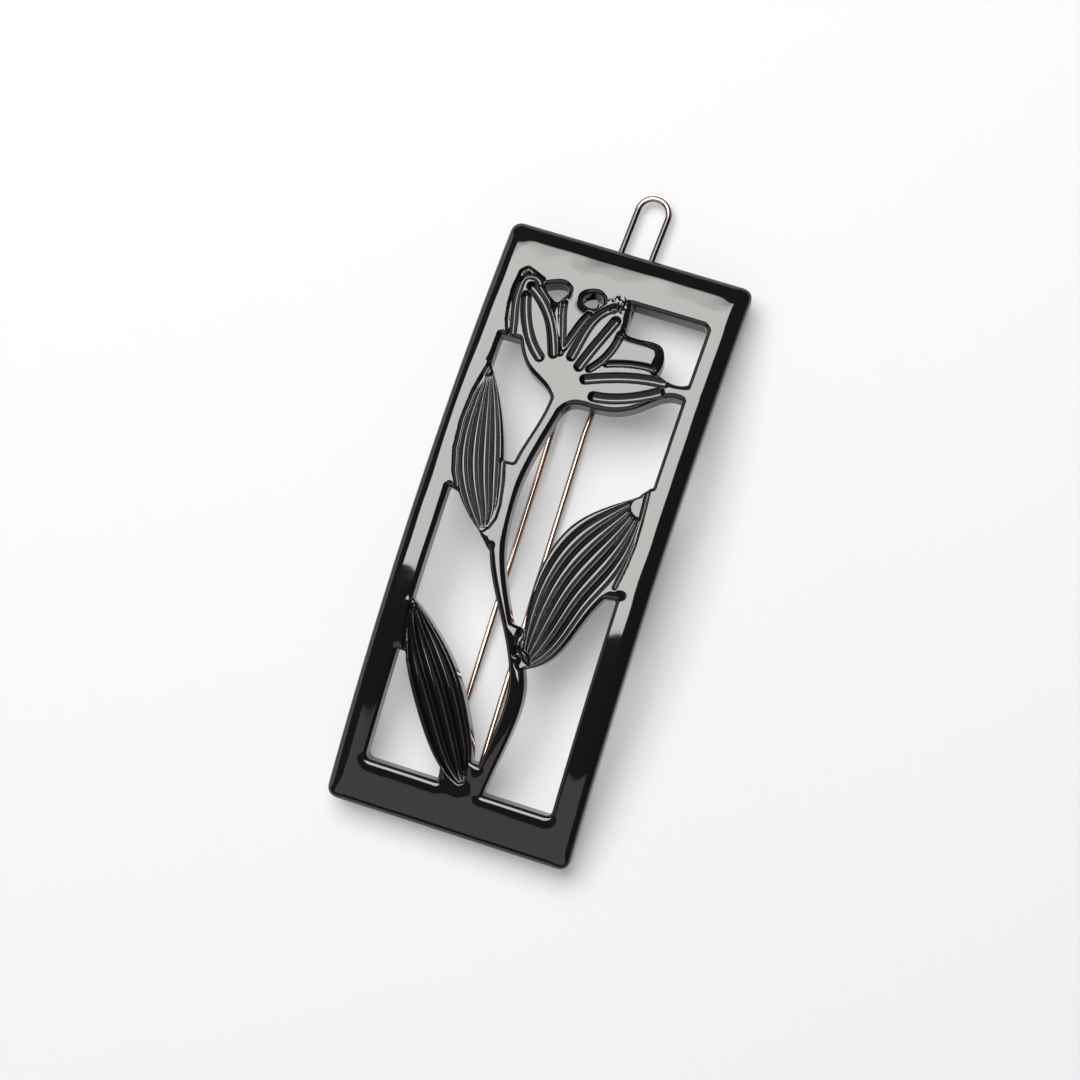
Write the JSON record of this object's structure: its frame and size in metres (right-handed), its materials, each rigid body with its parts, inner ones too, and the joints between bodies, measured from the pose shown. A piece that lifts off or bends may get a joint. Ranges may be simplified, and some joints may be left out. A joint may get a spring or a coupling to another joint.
{
  "type": "barrette",
  "caption": "Arched rectangular hair clip with an openwork tulip, gloss black, closed by a hinged spring-wire tongue that snaps over a stud behind the plate.",
  "frame": {"origin": "centre of the footprint of the closed barrette, on the surface it lies on", "axes": "+Z out of the decorative face, +Y along the plate from the hinge towards the finger loop, +X to the right when the tulip is upright"},
  "size_m": [0.0336, 0.0892, 0.0107],
  "materials": {
    "black_enamel": "gloss",
    "dark_steel": "satin",
    "wire_steel": "polished"
  },
  "bodies": {
    "body": {"plate": "black_enamel", "hinge_bracket": "dark_steel", "catch_pad": "dark_steel", "catch_stud": "dark_steel"},
    "tongue": {"wire_tongue": "wire_steel"}
  },
  "joints": [
    {"name": "tongue_hinge", "type": "hinge", "parent": "body", "child": "tongue", "pos_m": [-0.001, -0.04007, 0.001], "axis": [-1, 0, 0], "range_deg": [0, 180]}
  ]
}
